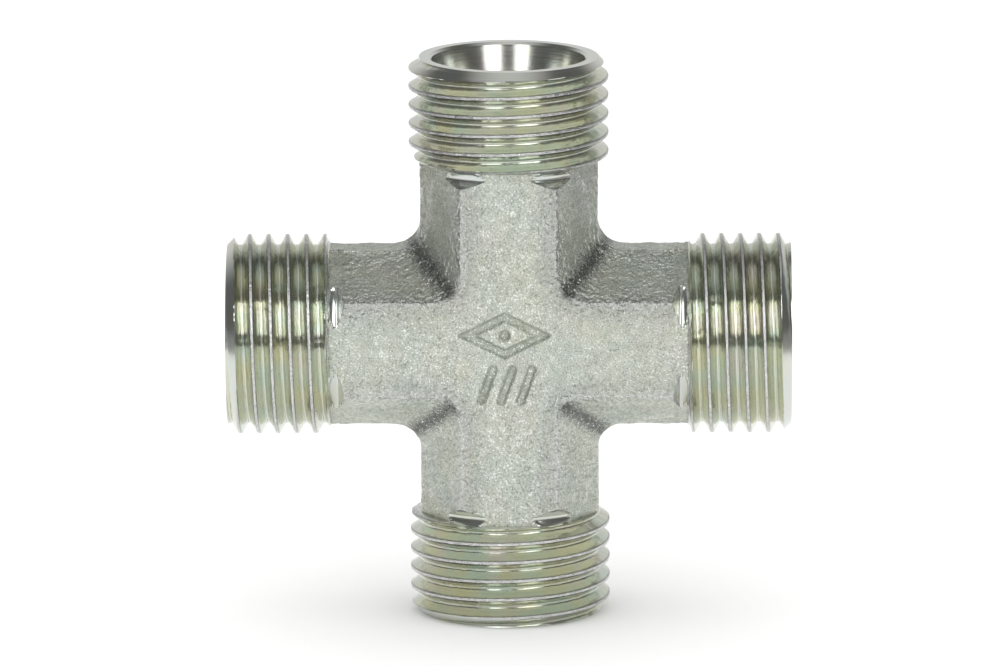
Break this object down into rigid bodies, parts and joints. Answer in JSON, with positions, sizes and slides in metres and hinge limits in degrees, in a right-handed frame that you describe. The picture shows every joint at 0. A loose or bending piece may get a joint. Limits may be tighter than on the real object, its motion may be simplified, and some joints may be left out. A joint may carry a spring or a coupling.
{
  "type": "cross fitting",
  "caption": "Equal cross body of a compression tube fitting, with a male thread and a 24 degree cone on each arm.",
  "frame": {"origin": "where the two passages cross, at the middle of the body", "axes": "+X out of the right port, +Z out of the top port, +Y through the thickness, away from the marked front face"},
  "size_m": [0.0448, 0.0158, 0.0448],
  "materials": {
    "forged_zinc": "shot-blasted forged skin, zinc plated: fine sparkling grain, pale grey with faint green and blue",
    "turned_zinc": "turned and cut surfaces, zinc plated with a thin iridescent passivation: pale khaki green with bright crests"
  },
  "bodies": {
    "root": {"forged_cross_body": "forged_zinc", "threaded_port_top": "turned_zinc", "threaded_port_bottom": "turned_zinc", "threaded_port_left": "turned_zinc", "threaded_port_right": "turned_zinc"}
  },
  "joints": []
}
